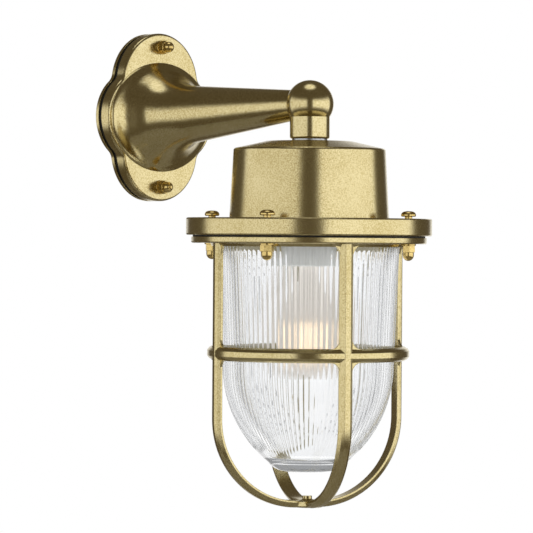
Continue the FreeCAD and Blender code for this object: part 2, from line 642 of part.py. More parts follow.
def make_leads():
    """Three leads from the terminal block through arm, ball and stem to the lamp holder."""
    reach, rise, drop = value("arm_reach"), value("arm_rise"), value("head_drop")
    gap, face = value("lead_gap"), value(FOOT_FACE)
    block_top = value("block_h / 2 - block_z")
    turn = math.radians(value("cage_turn"))
    stem_low, well = value("stem_low") - drop, value("well_y") - 2.0
    clamp_top = value("holder_top - well_d + clamp_h") - drop + 0.05

    def turned(x, y, z):
        return (x * math.cos(turn) - y * math.sin(turn),
                x * math.sin(turn) + y * math.cos(turn) - reach, z)

    earth = value("earth_boss_at") - 3.1
    ends = {
        "lead_live": (-gap, [turned(0, well, stem_low - 7), turned(0, well, clamp_top)]),
        "lead_neutral": (gap, [turned(0, -well, stem_low - 7), turned(0, -well, clamp_top)]),
        "lead_earth": (0.0, [turned(earth, earth, stem_low - 2.0)]),
    }
    for label, (across, tail) in ends.items():
        lead(label, [
            (across * 3, -7.0, block_top + 0.05), (across * 3, -7.0, block_top + 5.0),
            (across * 1.6, -face - 16.0, 0.5), (across, -reach * 0.5, rise * 0.5 - 0.5),
            (across, -reach + 5.0, rise - 1.5), (across, -reach, rise - 7.5),
            (across, -reach, stem_low - 1.9)] + tail)


def make_wall_wiring():
    """Terminal block on the wall plate and the earth screw in the cap."""
    body = new_body("terminal_block", base=("0", "-plate_t", "-block_z"))
    sketch = new_sketch(body, "XZ_Plane")
    wide, high = "(block_w / 2)", "(block_h / 2)"
    draw(sketch, [(f"-{wide}", f"-{high}"), (wide, f"-{high}"), (wide, high), (f"-{wide}", high)])
    pad(body, sketch, "block_d")
    for x in ("3.7", "-3.7"):
        round_hole(body, "XZ_Plane", None, x, "0", "1.6", "block_d", back=True)
    pan_screw_set("earth_screw", [("earth_boss_at", "earth_boss_at")], "earth_boss_z", False, turn="cage_turn")


# ---------------------------------------------------------------- glass, seals and cage


def make_glass():
    """Well glass: turned rim, tapered wall and rounded toe, with a thick flat bottom."""
    body = new_body("well_glass")
    wall, bend = "glass_wall", "glass_bend_r"
    lathe(body, [
        ("0", "-glass_low"), ("foot_r", "-glass_low", "14"), ("toe_r", "-toe_z", bend),
        ("waist_r", "-waist_z"), ("glass_r", f"-{GLASS_SEAT} - 4", "-4.5"),
        ("glass_r + 1.6", f"-{GLASS_SEAT}"), ("rim_r", f"-{GLASS_SEAT}"), ("rim_r", f"-{GLASS_TOP}"),
        (f"glass_r - {wall}", f"-{GLASS_TOP}"), (f"waist_r - {wall}", "-waist_z", f"-{bend} + {wall}"),
        ("toe_r - 2.5", "2.5 - toe_z"), ("foot_r - 2", "floor_t - glass_low"),
        ("0", "floor_t - glass_low")])


def make_seals():
    """Rubber rings above and below the glass rim, and the flat gasket between the flanges."""
    ring("upper_seal", "cap_base_r", "rim_r", "-pocket_z", f"-{GLASS_TOP}")
    low = "-(flange_t + flange_gasket_t + lip_recess)"
    ring("lower_seal", "seal_in_r + 0.6", "rim_r", f"-{GLASS_SEAT}", low)
    body = new_body("flange_gasket", turn="cage_turn")
    lathe(body, [("pocket_r + 0.4", f"-{RING_TOP}"), ("ring_r - 1", f"-{RING_TOP}"),
                 ("ring_r - 1", "-flange_t"), ("pocket_r + 0.4", "-flange_t")])
    hole = round_hole(body, "XY_Plane", "-flange_t", "bolt_circle * 0.70710678",
                      "bolt_circle * 0.70710678", "(bolt_r + hole_gap)", "flange_gasket_t")
    around(body, [hole], 4)


def bar_section(sketch, x):
    """Ridged bar section: wide flat back at the inside, narrow ridge outside."""
    back, ridge = "(bar_width / 2)", "(ridge_width / 2)"
    inner, edge = f"({x} - bar_depth)", f"({x} - bar_depth + 1.3)"
    slope, shoulder = f"({x} - 1.2)", "(ridge_width / 2 + 1.7)"
    draw(sketch, [(inner, f"-{back}"), (edge, f"-{back}"), (slope, f"-{shoulder}"),
                  (x, f"-{ridge}"), (x, ridge), (slope, shoulder), (edge, back), (inner, back)])


def make_guard():
    """Cast cage: flange ring with collar, four bars bent to a hub, and a middle band."""
    body = new_body("guard", turn="cage_turn")
    recess = f"({RING_TOP} + lip_recess)"
    lathe(body, [
        ("lip_r", f"-{RING_LOW} - collar_drop"),
        ("collar_r", f"-{RING_LOW} - collar_drop"), ("collar_r + 1", f"-{RING_LOW}"),
        ("ring_r - ring_edge_r", f"-{RING_LOW}", "ring_edge_r"),
        ("ring_r", f"ring_edge_r - {RING_LOW}"), ("ring_r", f"-{RING_TOP}"),
        ("rim_r + 0.6", f"-{RING_TOP}"), ("rim_r + 0.6", f"-{recess}"), ("lip_r", f"-{recess}")])
    top = f"({RING_LOW} - 1)"
    straight = new_sketch(body, "XY_Plane", f"-{top}")
    bar_section(straight, "bar_r")
    upright_bar = pad(body, straight, f"bend_z - {top}", back=True)
    bent = new_sketch(body, "XY_Plane", "-bend_z")
    bar_section(bent, "bar_r")
    axis = bent.addGeometry(Part.LineSegment(V(8, -1, 0), V(8, 1, 0)), True)
    pin_point(bent, axis, 1, "bar_r - bend_r", "-1")
    pin_point(bent, axis, 2, "bar_r - bend_r", "1")
    turn = body.newObject("PartDesign::Revolution", "bend")
    turn.Profile = bent
    turn.ReferenceAxis = (bent, ["Axis0"])
    turn.Angle = 90
    turn.Reversed = False
    body.Tip = turn
    around(body, [upright_bar, turn], 4)
    band_and_hub(body)
    webs = []
    for outline in (band_web, ring_web):
        web = new_sketch(body, "YZ_Plane", "bar_r - bar_depth + 0.2")
        outline(web)
        webs.append(pad(body, web, "web_t"))
    around(body, webs, 4)
    inside = new_sketch(body, "XY_Plane", f"-{recess}")
    draw_circle(inside, "0", "0", "lip_r")
    pad(body, inside, "ring_t + collar_drop + 8", cut=True)
    hole = round_hole(body, "XY_Plane", f"-{RING_TOP}", "bolt_circle * 0.70710678",
                      "bolt_circle * 0.70710678", "(bolt_r + hole_gap)", "ring_t")
    around(body, [hole], 4)


WEB_NEAR = "(bar_width / 2 - 0.4)"


def band_web(sketch):
    """Cross with hollow corners, which fills the corners between a bar and the band."""
    near, far, curl = WEB_NEAR, "web_half", f"({WEB_NEAR} - web_half)"
    corners = [(near, f"-{far}"), (far, f"-{near}"), (far, near), (near, far),
               (f"-{near}", far), (f"-{far}", near), (f"-{far}", f"-{near}"), (f"-{near}", f"-{far}")]
    draw(sketch, [(x, f"{z} - band_z") + ((curl,) if index % 2 == 0 else ())
                  for index, (x, z) in enumerate(corners)])


def ring_web(sketch):
    """Wide head with hollow corners, which fills the corners between a bar and the ring."""
    near, far, curl = WEB_NEAR, "(web_half + 3)", f"({WEB_NEAR} - web_half - 3)"
    line, low = f"(0.4 - {RING_LOW})", f"(0.4 - {RING_LOW} - web_half - 3 + {WEB_NEAR})"
    draw(sketch, [(f"-{near}", low), (near, low, curl), (far, line), (far, f"{line} + 1"),
                  (f"-{far}", f"{line} + 1"), (f"-{far}", line, curl)])


def band_and_hub(body):
    """The cage's middle band, of the bars' section, and its hub with a small knob."""
    inner, edge = "(bar_r - bar_depth)", "(bar_r - bar_depth + 1.3)"
    half, ridge = "(band_h / 2)", "(ridge_width / 2)"
    slope, shoulder = "(bar_r - 1.4)", "(ridge_width / 2 + 1.7)"
    lathe(body, [(inner, f"-band_z - {half}"), (edge, f"-band_z - {half}"),
                 (slope, f"-band_z - {shoulder}"), ("bar_r - 0.2", f"-band_z - {ridge}"),
                 ("bar_r - 0.2", f"{ridge} - band_z"), (slope, f"{shoulder} - band_z"),
                 (edge, f"{half} - band_z"), (inner, f"{half} - band_z")])
    low, top = "(-bend_z - bend_r)", "(bar_depth - bend_z - bend_r)"
    lathe(body, [("0", low), ("hub_r - 1", low), ("hub_r", f"{low} + 1"), ("hub_r", f"{top} - 0.6"),
                 ("knob_r + 1.5", f"{top} + 0.5"), ("knob_r", f"{top} + 1"),
                 ("knob_r", f"{top} + knob_h"), ("0", f"{top} + knob_h")])


def make_guard_fasteners():
    """Four M5 cross-head screws through the flange, with washers and cap nuts below."""
    body = new_body("guard_screws", turn="cage_turn - 45")
    low, side = "head_stand", "bolt_circle + head_r"
    crown = lathe(body, [
        ("bolt_circle", low), (f"{side} - 0.5", low), (side, f"{low} + 0.5"),
        (side, f"{low} + head_h * 0.4", "head_r * 0.55"),
        ("bolt_circle + head_r * 0.6", f"{low} + head_h * 0.92", "head_r * 2"),
        ("bolt_circle", f"{low} + head_h")], axis="bolt_circle")
    rod = new_sketch(body, "XY_Plane", "head_stand")
    draw_circle(rod, "bolt_circle", "0", "bolt_r")
    shank = pad(body, rod, "bolt_len", back=True)
    cuts = []
    for long, wide in (("recess_len", "recess_w"), ("recess_w", "recess_len")):
        slot = new_sketch(body, "XY_Plane", "head_stand + head_h + 1")
        draw(slot, [(f"bolt_circle - {long} / 2", f"-{wide} / 2"),
                    (f"bolt_circle + {long} / 2", f"-{wide} / 2"),
                    (f"bolt_circle + {long} / 2", f"{wide} / 2"),
                    (f"bolt_circle - {long} / 2", f"{wide} / 2")])
        cuts.append(pad(body, slot, "recess_d + 1", cut=True))
    around(body, [crown, shank] + cuts, 4)
    washer_set("guard_washers", "bolt_circle", 4, "-1",
               base=("0", "-arm_reach", f"-head_drop - {RING_LOW}"), turn="cage_turn - 45")
    cap_nut_set("guard_cap_nuts", "bolt_circle", 4, "-1",
                base=("0", "-arm_reach", f"-head_drop - {NUT_SEAT}"), turn="cage_turn - 45")


# ---------------------------------------------------------------- lamp


def make_lamp():
    """Screw-in filament lamp: cap, insulator, contact, globe, glass mount and filaments."""
    tip = "lamp_tip"
    contact = new_body("lamp_contact")
    lathe(contact, [("0", f"-{tip} - 1.8"), ("lamp_contact_r", f"-{tip} - 1.8"),
                    ("lamp_contact_r", f"-{tip} - 0.8"), ("lamp_contact_r - 1.4", f"-{tip}"),
                    ("0", f"-{tip}")])
    insulator = new_body("lamp_insulator")
    high = f"(-{tip} - 1.8)"
    lathe(insulator, [("0", f"{high} - insulator_h"), ("insulator_r", f"{high} - insulator_h"),
                      ("insulator_r", f"{high} - insulator_h + 1"), ("lamp_contact_r", high),
                      ("0", high)])
    cap = new_body("lamp_cap")
    start, low = f"({high} - insulator_h)", f"({high} - insulator_h - lamp_cap_len)"
    inner = "(lamp_cap_root_r - lamp_cap_wall)"
    points = thread_outline("lamp_cap_r", "lamp_cap_root_r", inner, low, f"({start} - 0.9)")
    points[1] = (inner, f"{start} - 1.6")
    points[2] = ("0", f"{start} - 0.7")
    points.insert(3, ("0", start))
    points.insert(4, ("insulator_r", start))
    points.insert(5, ("lamp_cap_root_r", f"({start} - 0.9)"))
    lathe(cap, points)
    globe = new_body("lamp_globe")
    neck, neck_z, wall = "globe_neck_r", "globe_neck_z", "globe_wall"
    collar = f"({inner} - touch_gap)"
    lathe(globe, [
        ("0", "-globe_z - globe_r", "globe_r * 1.0001"), ("globe_r", "-globe_z", "globe_r * 2.1"),
        ("globe_r * 0.8", "-globe_z + globe_r * 0.78", "-globe_r * 3"),
        (neck, f"-{neck_z}"), (neck, f"{low} - 0.3"), (collar, f"{low} - 0.3"),
        (collar, f"{low} + 6"), (f"{collar} - {wall}", f"{low} + 6"),
        (f"{collar} - {wall}", f"{low} - 0.3 - {wall}"), (f"{neck} - {wall}", f"{low} - 0.3 - {wall}"),
        (f"{neck} - {wall}", f"-{neck_z} - 0.3", "globe_r * 3"),
        (f"globe_r * 0.8 - {wall}", "-globe_z + globe_r * 0.78 - 0.3", "-globe_r * 2.1"),
        (f"globe_r - {wall}", "-globe_z", f"-(globe_r - {wall}) * 1.0001"),
        ("0", f"{wall} - globe_z - globe_r")])
    mount = new_body("lamp_mount")
    inset = f"({collar} - {wall} - hole_gap)"
    lathe(mount, [("0", "-mount_z"), ("mount_r - 2.5", "-mount_z"), ("mount_r", "-mount_z + 12"),
                  ("mount_r", f"{low} + 1"), (inset, f"{low} + 3"), (inset, f"{low} + 5.5"),
                  ("0", f"{low} + 5.5")])
    filaments = new_body("lamp_filaments", turn="cage_turn")
    sketch = new_sketch(filaments, "XY_Plane", "-filament_low")
    draw_circle(sketch, "filament_ring_r", "0", "filament_r")
    rod = pad(filaments, sketch, "filament_low - filament_top")
    around(filaments, [rod], 4)


def check_and_export():
    """Recomputes, refuses a broken feature or shape, and writes one STEP file per node."""
    doc.recompute()
    for thing in doc.Objects:
        if "Invalid" in thing.State or "Error" in thing.State:
            raise RuntimeError(f"{thing.Label} did not recompute: {thing.State}")
    os.makedirs("parts", exist_ok=True)
    for thing in nodes:
        shape = thing.Shape
        if shape.isNull() or not shape.isValid() or not shape.Solids:
            raise RuntimeError(f"{thing.Label} has no valid solid")
        shape.exportStep(f"parts/{thing.Label}.step")


fill_sheet()
make_wall_plate()
make_wall_gasket()
make_wall_fasteners()
make_bracket()
make_stem()
make_cap()
make_bridge()
make_holder()
make_wall_wiring()
make_leads()
make_glass()
make_seals()
make_guard()
make_guard_fasteners()
make_lamp()
check_and_export()
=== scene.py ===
"""Looks of a brass ship lantern on its wall bracket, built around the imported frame."""

import json
import logging
import math
from dataclasses import dataclass
from enum import Enum

import bpy
import numpy as np
from mathutils import Euler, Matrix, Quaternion, Vector

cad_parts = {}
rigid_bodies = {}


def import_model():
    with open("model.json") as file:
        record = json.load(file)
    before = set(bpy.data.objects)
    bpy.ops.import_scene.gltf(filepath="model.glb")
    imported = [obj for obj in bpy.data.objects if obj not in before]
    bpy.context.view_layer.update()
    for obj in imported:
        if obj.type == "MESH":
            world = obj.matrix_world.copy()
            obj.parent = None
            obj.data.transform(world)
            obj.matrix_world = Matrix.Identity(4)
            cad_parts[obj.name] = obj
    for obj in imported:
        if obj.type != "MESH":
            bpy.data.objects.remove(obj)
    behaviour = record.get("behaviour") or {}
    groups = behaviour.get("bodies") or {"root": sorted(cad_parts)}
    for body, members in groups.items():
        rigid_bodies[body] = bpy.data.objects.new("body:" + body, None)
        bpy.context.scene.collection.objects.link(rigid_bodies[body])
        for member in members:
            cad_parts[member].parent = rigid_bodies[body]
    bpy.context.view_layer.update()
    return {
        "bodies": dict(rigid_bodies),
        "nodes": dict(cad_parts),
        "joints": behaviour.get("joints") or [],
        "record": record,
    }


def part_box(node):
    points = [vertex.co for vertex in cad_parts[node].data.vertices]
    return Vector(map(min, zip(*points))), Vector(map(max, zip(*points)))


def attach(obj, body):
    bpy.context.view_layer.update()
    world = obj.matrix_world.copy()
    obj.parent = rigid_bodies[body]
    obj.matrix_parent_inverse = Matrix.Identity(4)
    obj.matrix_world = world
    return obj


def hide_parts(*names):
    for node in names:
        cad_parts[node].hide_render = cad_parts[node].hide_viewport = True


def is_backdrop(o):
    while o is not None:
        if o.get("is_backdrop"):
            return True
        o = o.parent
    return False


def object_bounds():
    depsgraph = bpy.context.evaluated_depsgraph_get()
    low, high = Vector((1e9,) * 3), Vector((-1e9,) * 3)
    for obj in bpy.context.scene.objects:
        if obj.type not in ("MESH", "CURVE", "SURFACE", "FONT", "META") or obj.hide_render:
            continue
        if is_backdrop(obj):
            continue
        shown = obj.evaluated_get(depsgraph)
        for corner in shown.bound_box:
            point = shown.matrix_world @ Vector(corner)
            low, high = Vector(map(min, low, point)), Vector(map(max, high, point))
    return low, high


logging.basicConfig(level=logging.INFO, format="%(message)s")
LOG = logging.getLogger("ship_lantern")
MM = 0.001


class Slot(Enum):
    """The record's material slots."""

    CAST_BRASS = "cast_brass"
    BRIGHT_BRASS = "bright_brass"
    ZINC_STEEL = "zinc_steel"
    SEAL_RUBBER = "seal_rubber"
    TERMINAL_PLASTIC = "terminal_plastic"
    WHITE_CERAMIC = "white_ceramic"
    BROWN_WIRE = "brown_wire"
    BLUE_WIRE = "blue_wire"
    GREEN_WIRE = "green_wire"
    CLEAR_GLASS = "clear_glass"
    NICKEL_CAP = "nickel_cap"
    LAMP_INSULATOR = "lamp_insulator"
    LAMP_GLASS = "lamp_glass"
    FILAMENT = "filament"


class Graph:
    """A small helper that builds one material's or world's nodes."""

    def __init__(self, tree: bpy.types.NodeTree) -> None:
        """Starts an empty tree.

        Args:
            tree: The node tree to fill.
        """
        self.tree = tree
        tree.nodes.clear()

    def add(self, kind: str, **values: object) -> bpy.types.Node:
        """Adds a node.

        Args:
            kind: The node's bl_idname.
            values: Socket names, with _ for a space, or node properties, and their values.

        Returns:
            The new node.
        """
        node = self.tree.nodes.new(kind)
        for key, value in values.items():
            name = key.replace("_", " ")
            if name in node.inputs:
                self.feed(node.inputs[name], value)
            else:
                setattr(node, key, value)
        return node

    def feed(self, socket: bpy.types.NodeSocket, value: object) -> None:
        """Sets a socket's value, or links it when the value is another socket.

        Args:
            socket: The input.
            value: A number, colour or output socket.
        """
        if isinstance(value, bpy.types.NodeSocket):
            self.tree.links.new(value, socket)
        else:
            socket.default_value = value

    def math(self, operation: str, *values: object) -> bpy.types.NodeSocket:
        """A math node's result.

        Args:
            operation: The math node's operation.
            values: Its inputs in order.

        Returns:
            The result socket.
        """
        node = self.tree.nodes.new("ShaderNodeMath")
        node.operation = operation
        for socket, value in zip(node.inputs, values):
            self.feed(socket, value)
        return node.outputs[0]

    def product(self, a: object, b: object) -> bpy.types.NodeSocket:
        """The product of two values.

        Args:
            a: The first value.
            b: The second value.

        Returns:
            The result socket.
        """
        return self.math("MULTIPLY", a, b)

    def blend(self, a: object, share_a: object, b: object, share_b: object) -> bpy.types.NodeSocket:
        """A weighted sum, a * share_a + b * share_b.

        Args:
            a: The first value.
            share_a: Its weight.
            b: The second value.
            share_b: Its weight.

        Returns:
            The result socket.
        """
        return self.math("ADD", self.product(a, share_a), self.product(b, share_b))

    def either(self, *values: object) -> bpy.types.NodeSocket:
        """The greatest of several values.

        Args:
            values: Two or more values.

        Returns:
            The result socket.
        """
        top = values[0]
        for value in values[1:]:
            top = self.math("MAXIMUM", top, value)
        return top

    def ramp(self, value: object, low: float, high: float, out_low: float = 0.0,
             out_high: float = 1.0) -> bpy.types.NodeSocket:
        """Smooth step of a value between two limits.

        Args:
            value: The input.
            low: Where the step starts.
            high: Where it ends.
            out_low: Result before the step.
            out_high: Result after it.

        Returns:
            The result socket.
        """
        node = self.tree.nodes.new("ShaderNodeMapRange")
        node.interpolation_type = "SMOOTHSTEP"
        for socket, item in zip(node.inputs, (value, low, high, out_low, out_high)):
            self.feed(socket, item)
        return node.outputs[0]

    def noise(self, scale: float, detail: float = 3.0, rough: float = 0.55) -> bpy.types.NodeSocket:
        """Noise in object coordinates.

        Args:
            scale: Cells per metre.
            detail: Octaves.
            rough: Strength of the finer octaves.

        Returns:
            The noise value.
        """
        place = self.add("ShaderNodeTexCoord")
        noise = self.add("ShaderNodeTexNoise", Scale=scale, Detail=detail, Roughness=rough)
        self.feed(noise.inputs["Vector"], place.outputs["Object"])
        return noise.outputs["Fac"]

    def tint(self, factor: object, dark: tuple, light: tuple) -> bpy.types.NodeSocket:
        """A colour between two others.

        Args:
            factor: 0 gives dark and 1 gives light.
            dark: Linear RGB.
            light: Linear RGB.

        Returns:
            The colour socket.
        """
        mix = self.tree.nodes.new("ShaderNodeMix")
        mix.data_type = "RGBA"
        self.feed(mix.inputs[0], factor)
        self.feed(mix.inputs[6], (*dark, 1.0))
        self.feed(mix.inputs[7], (*light, 1.0))
        return mix.outputs[2]

    def bump(self, height: object, depth: float, soft: float = 0.0) -> bpy.types.NodeSocket:
        """A normal bent by a height, on edges rounded in shading.

        Args:
            height: The height value.
            depth: Its depth in metres.
            soft: Edge rounding radius in metres.

        Returns:
            The normal socket.
        """
        node = self.add("ShaderNodeBump", Strength=1.0, Distance=depth, Height=height)
        if soft:
            bevel = self.tree.nodes.new("ShaderNodeBevel")
            bevel.samples = 6
            bevel.inputs["Radius"].default_value = soft
            self.feed(node.inputs["Normal"], bevel.outputs[0])
        return node.outputs[0]

    def surface(self, shader: bpy.types.NodeSocket) -> None:
        """Connects a shader to the output.

        Args:
            shader: The final shader.
        """
        out = self.tree.nodes.new("ShaderNodeOutputMaterial")
        self.tree.links.new(shader, out.inputs["Surface"])


def new_material(name: str) -> tuple[bpy.types.Material, Graph]:
    """A material with an empty graph.

    Args:
        name: Its name.

    Returns:
        The material and its graph.
    """
    material = bpy.data.materials.new(name)
    material.use_nodes = True
    return material, Graph(material.node_tree)


@dataclass(frozen=True)
class Metal:
    """A cast or turned metal: two tones, two roughnesses, grain and dull mottling."""

    name: str
    dark: tuple
    light: tuple
    rough_low: float
    rough_high: float
    grain: float
    depth: float
    soft: float = 0.0006

    def build(self) -> bpy.types.Material:
        """Makes the material.

        Returns:
            The material. Colour follows a fine speckle plus a broad stain. Roughness
            follows the same speckle, and the bump is fine grain over a soft cast ripple.
        """
        material, graph = new_material(self.name)
        speck = graph.noise(self.grain, 4.0, 0.7)
        stain = graph.noise(38.0, 3.0, 0.5)
        ripple = graph.noise(110.0, 2.0, 0.5)
        mottle = graph.blend(speck, 0.8, stain, 0.2)
        colour = graph.tint(graph.ramp(mottle, 0.36, 0.6), self.dark, self.light)
        rough = graph.ramp(mottle, 0.3, 0.7, self.rough_high, self.rough_low)
        height = graph.blend(speck, 0.35, ripple, 0.8)
        shader = graph.add("ShaderNodeBsdfPrincipled", Base_Color=colour, Metallic=1.0,
                           Roughness=rough, Normal=graph.bump(height, self.depth, self.soft))
        graph.surface(shader.outputs[0])
        return material


@dataclass(frozen=True)
class Solid:
    """A rubber, plastic or ceramic finish."""

    name: str
    dark: tuple
    light: tuple
    rough: float
    grain: float
    depth: float
    coat: float = 0.0

    def build(self) -> bpy.types.Material:
        """Makes the material.

        Returns:
            The material. Colour and roughness follow a soft noise, and the bump a fine one.
        """
        material, graph = new_material(self.name)
        cloud = graph.noise(70.0)
        grain = graph.noise(self.grain, 3.0, 0.6)
        colour = graph.tint(graph.ramp(cloud, 0.35, 0.65), self.dark, self.light)
        rough = graph.ramp(grain, 0.3, 0.7, self.rough * 0.85, self.rough * 1.15)
        shader = graph.add("ShaderNodeBsdfPrincipled", Base_Color=colour, Roughness=rough,
                           Coat_Weight=self.coat, Normal=graph.bump(grain, self.depth, 0.0003))
        graph.surface(shader.outputs[0])
        return material


@dataclass(frozen=True)
class Glass:
    """Clear pressed or frosted glass that lets the lamp's light straight through."""

    name: str
    colour: tuple
    rough: float
    ripple: float
    glow: float = 0.0
    pale: float = 0.42

    def build(self) -> bpy.types.Material:
        """Makes the material.

        Returns:
            The material: refractive glass to the eye, and plain clear to shadow and
            diffuse rays, so that what is inside stays lit. Light that has bounced about
            inside it for long ends as a pale grey instead of black.
        """
        material, graph = new_material(self.name)
        wave = graph.noise(60.0, 2.0, 0.5)
        glass = graph.add("ShaderNodeBsdfPrincipled", Base_Color=(*self.colour, 1.0), IOR=1.5,
                          Roughness=self.rough, Transmission_Weight=1.0,
                          Emission_Color=(1.0, 0.80, 0.55, 1.0), Emission_Strength=self.glow,
                          Normal=graph.bump(wave, self.ripple))
        clear = graph.add("ShaderNodeBsdfTransparent", Color=(0.97, 0.98, 0.98, 1.0))
        path = graph.tree.nodes.new("ShaderNodeLightPath")
        skip = graph.math("MAXIMUM", path.outputs["Is Shadow Ray"], path.outputs["Is Diffuse Ray"])
        mix = graph.tree.nodes.new("ShaderNodeMixShader")
        graph.feed(mix.inputs[0], skip)
        graph.feed(mix.inputs[1], glass.outputs[0])
        graph.feed(mix.inputs[2], clear.outputs[0])
        # Painted light: past five bounces the glass glows a flat pale grey, standing in for the
        # light it would pass on.
        pale = graph.add("ShaderNodeEmission", Color=(0.80, 0.82, 0.84, 1.0), Strength=self.pale)
        late = graph.tree.nodes.new("ShaderNodeMixShader")
        graph.feed(late.inputs[0], graph.math("GREATER_THAN", path.outputs["Ray Depth"], 5.5))
        graph.feed(late.inputs[1], mix.outputs[0])
        graph.feed(late.inputs[2], pale.outputs[0])
        graph.surface(late.outputs[0])
        return material


@dataclass(frozen=True)
class Glow:
    """A lit surface: warm light, brighter where it faces the eye."""

    name: str
    colour: tuple
    strength: float

    def build(self) -> bpy.types.Material:
        """Makes the material.

        Returns:
            The material: a principled shader whose emission follows how squarely it is seen.
        """
        material, graph = new_material(self.name)
        facing = graph.tree.nodes.new("ShaderNodeLayerWeight")
        facing.inputs["Blend"].default_value = 0.4
        power = graph.ramp(facing.outputs["Facing"], 0.0, 1.0, self.strength, self.strength * 0.5)
        shader = graph.add("ShaderNodeBsdfPrincipled", Base_Color=(*self.colour, 1.0),
                           Roughness=0.4, Emission_Color=(*self.colour, 1.0),
                           Emission_Strength=power)
        graph.surface(shader.outputs[0])
        return material


FINISHES: dict[Slot, object] = {
    Slot.CAST_BRASS: Metal(
        "cast_brass", (0.50, 0.40, 0.17), (0.70, 0.60, 0.33),
        0.13, 0.24, 1100.0, 0.00006),
    Slot.BRIGHT_BRASS: Metal(
        "bright_brass", (0.60, 0.43, 0.14), (0.80, 0.62, 0.26),
        0.13, 0.24, 1400.0, 0.00003, 0.0004),
    Slot.ZINC_STEEL: Metal(
        "zinc_steel", (0.42, 0.45, 0.50), (0.62, 0.65, 0.70),
        0.22, 0.38, 1200.0, 0.00002),
    Slot.NICKEL_CAP: Metal(
        "nickel_cap", (0.55, 0.53, 0.50), (0.74, 0.72, 0.68),
        0.12, 0.24, 1500.0, 0.00002),
    Slot.SEAL_RUBBER: Solid(
        "seal_rubber", (0.010, 0.010, 0.010), (0.022, 0.022, 0.022),
        0.62, 1600.0, 0.00004),
    Slot.TERMINAL_PLASTIC: Solid(
        "terminal_plastic", (0.62, 0.62, 0.58), (0.72, 0.72, 0.68),
        0.45, 1500.0, 0.00002),
    Slot.WHITE_CERAMIC: Solid(
        "white_ceramic", (0.82, 0.82, 0.80), (0.90, 0.90, 0.88),
        0.3, 700.0, 0.00003, 0.6),
    Slot.BROWN_WIRE: Solid(
        "brown_wire", (0.09, 0.035, 0.018), (0.14, 0.055, 0.03),
        0.42, 1800.0, 0.00002),
    Slot.BLUE_WIRE: Solid(
        "blue_wire", (0.02, 0.08, 0.36), (0.03, 0.12, 0.45),
        0.42, 1800.0, 0.00002),
    Slot.GREEN_WIRE: Solid(
        "green_wire", (0.05, 0.24, 0.03), (0.45, 0.42, 0.03),
        0.42, 300.0, 0.00002),
    Slot.LAMP_INSULATOR: Solid(
        "lamp_insulator", (0.015, 0.015, 0.02), (0.03, 0.03, 0.04),
        0.2, 900.0, 0.00002, 0.5),
    Slot.CLEAR_GLASS: Glass("clear_glass", (0.975, 0.982, 0.99), 0.03, 0.00003),
    Slot.LAMP_GLASS: Glass("lamp_glass", (1.0, 0.97, 0.93), 0.35, 0.00004, 0.03, 0.95),
    Slot.FILAMENT: Glow("filament", (1.0, 0.76, 0.50), 2.0),
}


class Looks:
    """Builds each finish once and gives it to pieces and CAD nodes."""

    def __init__(self) -> None:
        """Starts with no material built."""
        self.made: dict[Slot, bpy.types.Material] = {}

    def material(self, slot: Slot) -> bpy.types.Material:
        """The material of a slot.

        Args:
            slot: The record's slot.

        Returns:
            The material, built on first use.
        """
        if slot not in self.made:
            self.made[slot] = FINISHES[slot].build()
        return self.made[slot]

    def dress(self, thing: bpy.types.Object, slot: Slot) -> None:
        """Gives an object one material.

        Args:
            thing: A mesh object.
            slot: The record's slot.
        """
        thing.data.materials.clear()
        thing.data.materials.append(self.material(slot))

    def dress_frame(self, frame: dict) -> None:
        """Gives every CAD node the finish of its slot.
        """
        for entry in frame["record"]["subparts"]:
            self.dress(frame["nodes"][entry["node"]], Slot(entry["material_slot"]))
            LOG.info("node %s wears %s", entry["node"], entry["material_slot"])


def lathe_mesh(name: str, rings: np.ndarray, heights: np.ndarray, axis: tuple) -> bpy.types.Object:
    """A closed turned surface from rings of radii.

    Args:
        name: The object's name.
        rings: Radii in metres, one row per height and one column per angle.
        heights: Row heights in metres.
        axis: X and Y of the upright axis.

    Returns:
        The object. Point (i, j) is at axis + rings[i, j] * (cos t, sin t), with t = 2 pi j / n,
        and both ends close on a single point of the axis.
    """
    rows, count = rings.shape
    angle = np.linspace(0.0, 2.0 * math.pi, count, endpoint=False)
    points = np.empty((rows, count, 3))
    points[..., 0] = axis[0] + rings * np.cos(angle)
    points[..., 1] = axis[1] + rings * np.sin(angle)
    points[..., 2] = heights[:, None]
    ends = np.array([[axis[0], axis[1], heights[0]], [axis[0], axis[1], heights[-1]]])
    index = np.arange(rows * count).reshape(rows, count)
    after = np.roll(index, -1, axis=1)
    quads = np.stack([index[:-1], after[:-1], after[1:], index[1:]], axis=-1).reshape(-1, 4)
    first, last = rows * count, rows * count + 1
    fan_low = np.stack([np.full(count, first), after[0], index[0]], axis=-1)
    fan_high = np.stack([np.full(count, last), index[-1], after[-1]], axis=-1)
    mesh = bpy.data.meshes.new(name)
    vertices = np.vstack([points.reshape(-1, 3), ends])
    mesh.from_pydata(vertices.tolist(), [], quads.tolist() + fan_low.tolist() + fan_high.tolist())
    mesh.shade_smooth()
    mesh.update()
    thing = bpy.data.objects.new(name, mesh)
    bpy.context.scene.collection.objects.link(thing)
    return thing


def axis_of(node: str) -> tuple[float, float]:
    """The upright axis of a round CAD node.

    Args:
        node: The node's name.

    Returns:
        X and Y of its middle, in metres.
    """
    low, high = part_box(node)
    return (low[0] + high[0]) / 2, (low[1] + high[1]) / 2


